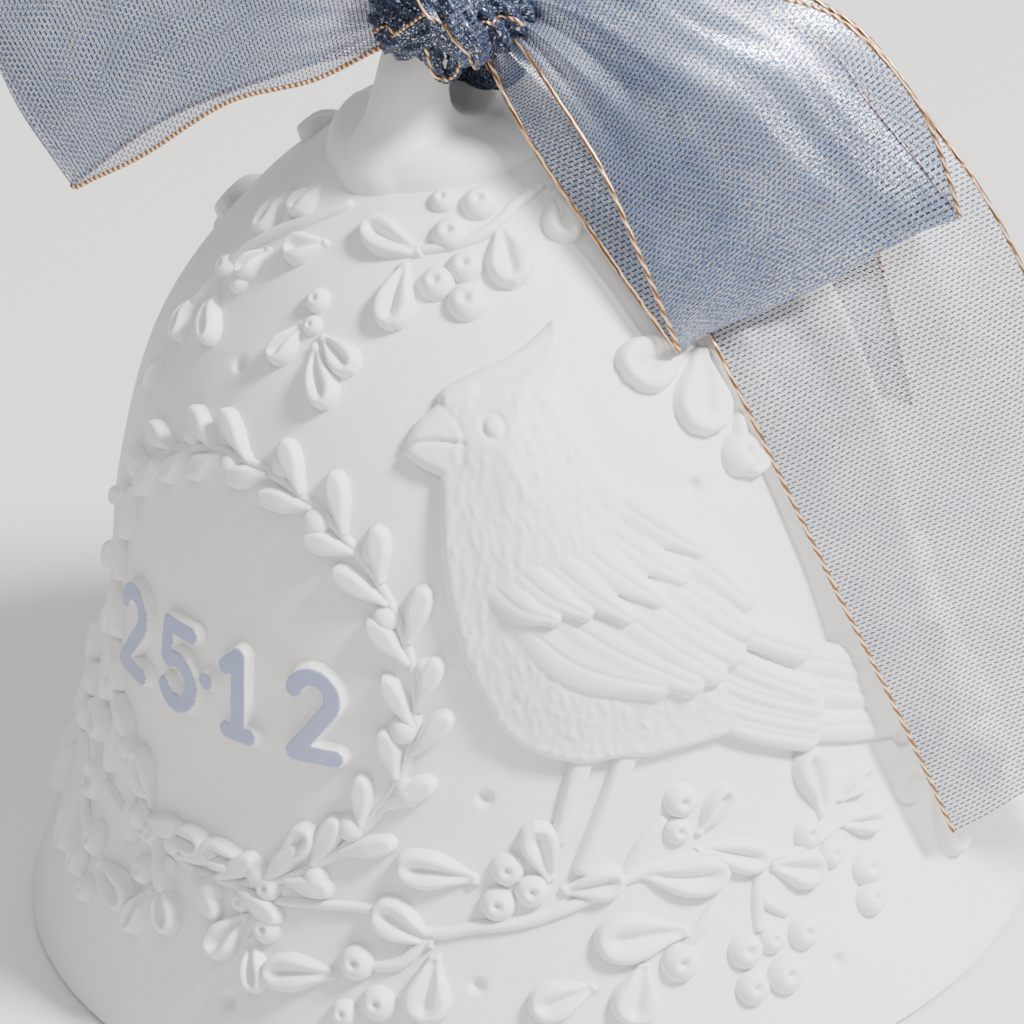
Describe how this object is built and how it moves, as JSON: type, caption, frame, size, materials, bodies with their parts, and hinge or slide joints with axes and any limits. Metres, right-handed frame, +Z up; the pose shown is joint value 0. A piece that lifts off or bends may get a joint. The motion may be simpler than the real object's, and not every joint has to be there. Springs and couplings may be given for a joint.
{
  "type": "bell ornament",
  "caption": "Matte porcelain bell ornament with raised leaves, berries and songbirds, a sheer ribbon bow tied through its lug, and a ball clapper that swings inside.",
  "frame": {"origin": "middle of the bell's mouth, in the plane of the lip", "axes": "+Z up along the bell's axis towards the lug; -Y is the front, where the wreath is; the hole in the lug runs along X"},
  "size_m": [0.0913, 0.083, 0.0909],
  "materials": {
    "porcelain": "matte unglazed bisque",
    "numeral_glaze": "pale blue, matte",
    "organza": "sheer, iridescent, with metallic edges",
    "steel_wire": "bright drawn wire",
    "clapper_steel": "polished ball and bead"
  },
  "bodies": {
    "bell": {"bell_shell": "porcelain", "hanger_lug": "porcelain", "wreath_stem": "porcelain", "wreath_leaves": "porcelain", "wreath_berries": "porcelain", "right_bird_body": "porcelain", "right_bird_wing": "porcelain", "right_bird_tail": "porcelain", "right_bird_legs": "porcelain", "back_bird_body": "porcelain", "back_bird_wing": "porcelain", "back_bird_tail": "porcelain", "back_bird_legs": "porcelain", "branch_stems": "porcelain", "branch_leaves": "porcelain", "branch_berries": "porcelain", "crown_stems": "porcelain", "crown_leaves": "porcelain", "crown_berries": "porcelain", "date_numerals": "numeral_glaze", "ribbon_turn": "organza", "bow_knot": "organza", "bow_loop_right": "organza", "bow_loop_left": "organza", "ribbon_tail_right": "organza", "ribbon_tail_back": "organza", "clapper_staple": "steel_wire"},
    "link": {"clapper_link": "steel_wire"},
    "clapper": {"clapper_wire": "steel_wire", "clapper_ball": "clapper_steel", "clapper_bead": "clapper_steel"}
  },
  "joints": [
    {"name": "link_swing", "type": "hinge", "parent": "bell", "child": "link", "pos_m": [0, 0, 0.0626], "axis": [1, 0, 0], "range_deg": [-24, 24]},
    {"name": "clapper_swing", "type": "hinge", "parent": "link", "child": "clapper", "pos_m": [0, 0, 0.0599], "axis": [0, 1, 0], "range_deg": [-24, 24]}
  ]
}
